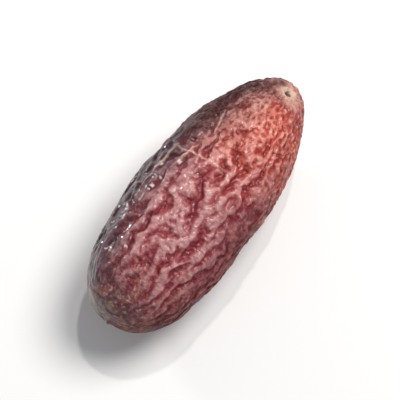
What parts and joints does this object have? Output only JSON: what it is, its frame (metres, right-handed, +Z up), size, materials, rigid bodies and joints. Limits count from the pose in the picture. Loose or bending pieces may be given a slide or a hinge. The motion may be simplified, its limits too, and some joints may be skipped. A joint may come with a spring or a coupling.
{
  "type": "medjool date",
  "caption": "Whole dried medjool date with deeply wrinkled skin, a blunt blossom end and a puckered stem scar, lying on a small flat spot.",
  "frame": {"origin": "centre of the footprint, on the surface that the date lies on", "axes": "+X along the fruit towards the stem end, +Z up, the resting spot facing -Z"},
  "size_m": [0.05, 0.021, 0.0199],
  "materials": {
    "date_skin": "satin, dark red-brown wrinkled skin with a dusty mauve bloom on the ridges"
  },
  "bodies": {
    "root": {"date": "date_skin"}
  },
  "joints": []
}
